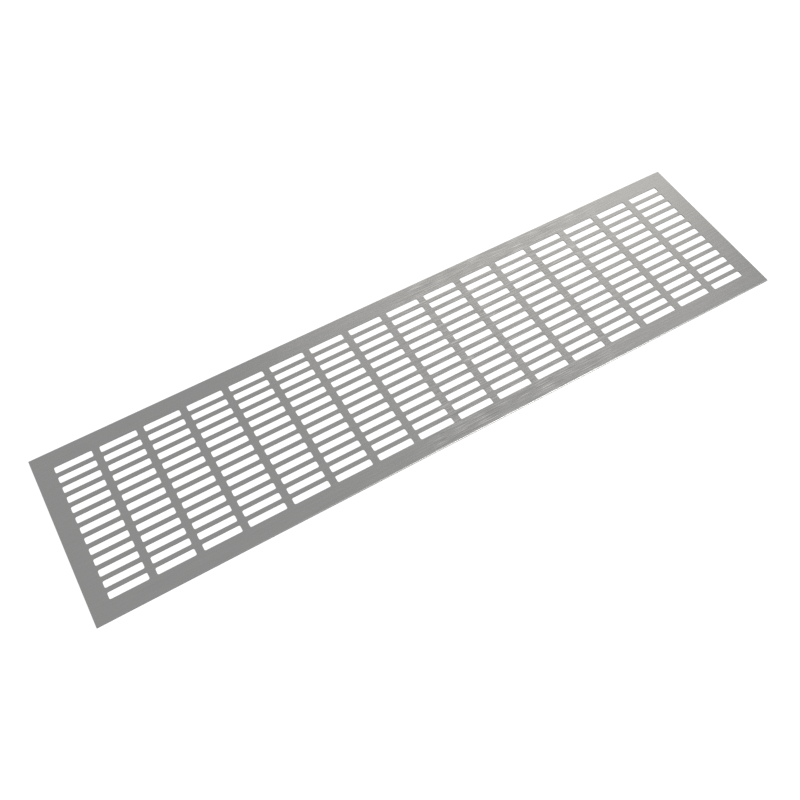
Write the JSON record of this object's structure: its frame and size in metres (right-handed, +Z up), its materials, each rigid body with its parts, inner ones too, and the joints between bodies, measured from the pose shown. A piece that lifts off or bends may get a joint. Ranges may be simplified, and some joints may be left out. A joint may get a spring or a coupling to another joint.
{
  "type": "ventilation grille",
  "caption": "Flat oblong ventilation grille: a thin strip of brushed aluminium with rounded long edges and a regular field of round-cornered slots.",
  "frame": {"origin": "middle of the footprint, on the flat underside", "axes": "+X along the length and the slots, +Y across the width, +Z up out of the brushed face"},
  "size_m": [0.5, 0.126, 0.0008],
  "materials": {
    "brushed_aluminium": "satin, finely brushed along the length"
  },
  "bodies": {
    "root": {"grille_plate": "brushed_aluminium"}
  },
  "joints": []
}
